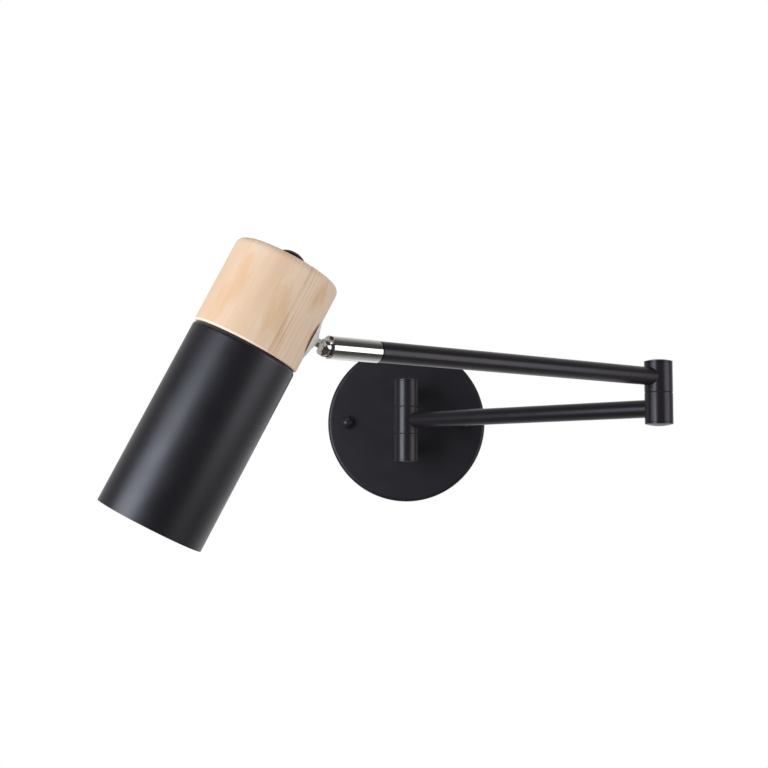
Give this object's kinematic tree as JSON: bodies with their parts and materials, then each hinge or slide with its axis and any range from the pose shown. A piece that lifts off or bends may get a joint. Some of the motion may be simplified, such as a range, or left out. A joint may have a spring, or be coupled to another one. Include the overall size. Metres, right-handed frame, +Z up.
{
  "type": "articulating wall lamp",
  "caption": "Wall light with jointed black arms on a round canopy, and a chrome swivel that holds a cylindrical head: an open black shade under a turned wood cap with a rotary switch.",
  "frame": {"origin": "middle of the wall crossbar's back face, where it lies on the wall", "axes": "+Y into the wall, so the lamp stands out along -Y; +Z up; +X to the right of someone who faces the wall"},
  "size_m": [0.3815, 0.4447, 0.1881],
  "materials": {
    "black_lacquer": "satin",
    "black_shade_paint": "matte",
    "zinc_steel": "zinc plated",
    "bright_chrome": "polished",
    "pale_plastic": "matte",
    "brass": "plain",
    "nylon": "matte",
    "black_holder_plastic": "semi-gloss",
    "black_knob_plastic": "matte",
    "pale_wood": "oiled, fine grain along the head",
    "bulb_cap_metal": "plain",
    "opal_glass": "frosted"
  },
  "bodies": {
    "wall_mount": {"wall_crossbar": "zinc_steel", "canopy": "black_lacquer", "canopy_studs": "zinc_steel", "canopy_cap_nuts": "black_lacquer", "terminal_block": "pale_plastic", "terminal_screws": "brass", "earth_screw": "zinc_steel", "upper_neck": "black_lacquer", "lower_neck": "black_lacquer", "neck_washers": "zinc_steel", "neck_nuts": "zinc_steel", "hub_upper_knuckle": "black_lacquer", "hub_lower_knuckle": "black_lacquer", "hub_pivot_pin": "zinc_steel", "hub_end_caps": "black_lacquer", "hub_bearing_washers": "nylon"},
    "lower_arm": {"lower_arm_knuckle": "black_lacquer", "lower_arm_tube": "black_lacquer", "elbow_lower_knuckle": "black_lacquer", "elbow_pivot_pin": "zinc_steel", "elbow_pin_nut": "zinc_steel", "elbow_bearing_washer": "nylon", "elbow_bottom_cap": "black_lacquer"},
    "upper_arm": {"elbow_upper_knuckle": "black_lacquer", "elbow_top_cap": "black_lacquer", "upper_arm_tube": "black_lacquer", "fork_bush": "nylon"},
    "swivel": {"swivel_fork": "bright_chrome", "fork_retaining_nut": "bright_chrome", "pivot_screw": "bright_chrome", "pivot_nut": "bright_chrome"},
    "stem": {"swivel_tongue": "bright_chrome", "stem_washer": "zinc_steel", "stem_nut": "zinc_steel"},
    "head": {"side_flange": "bright_chrome", "wood_cap": "pale_wood", "shade": "black_shade_paint", "shade_screws": "zinc_steel", "lamp_holder": "black_holder_plastic", "holder_ring": "black_holder_plastic", "holder_shell": "brass", "holder_contact": "brass", "bulb_cap": "bulb_cap_metal", "bulb_glass": "opal_glass", "rotary_switch": "pale_plastic", "switch_nut": "zinc_steel"},
    "knob": {"switch_knob": "black_knob_plastic", "switch_spindle": "zinc_steel"}
  },
  "joints": [
    {"name": "hub_swing", "type": "hinge", "parent": "wall_mount", "child": "lower_arm", "pos_m": [0, -0.057, 0], "axis": [0, 0, 1], "range_deg": [-135, 35]},
    {"name": "elbow_swing", "type": "hinge", "parent": "lower_arm", "child": "upper_arm", "pos_m": [0.18804, -0.21091, 0], "axis": [0, 0, 1], "range_deg": [-17, 222]},
    {"name": "fork_roll", "type": "hinge", "parent": "upper_arm", "child": "swivel", "pos_m": [-0.04968, -0.39798, 0.0235], "axis": [-0.7859, -0.6184, 0], "range_deg": [-120, 120]},
    {"name": "head_tilt", "type": "hinge", "parent": "swivel", "child": "stem", "pos_m": [-0.04968, -0.39798, 0.0235], "axis": [0.4448, -0.5653, 0.6947], "range_deg": [-34, 112]},
    {"name": "head_spin", "type": "hinge", "parent": "stem", "child": "head", "pos_m": [-0.04968, -0.39798, 0.0235], "axis": [0.8805, 0.1342, -0.4546], "range_deg": [-120, 120]},
    {"name": "knob_turn", "type": "hinge", "parent": "head", "child": "knob", "pos_m": [-0.09812, -0.40491, 0.02311], "axis": [0.4524, 0.0487, 0.8905], "continuous": true}
  ]
}
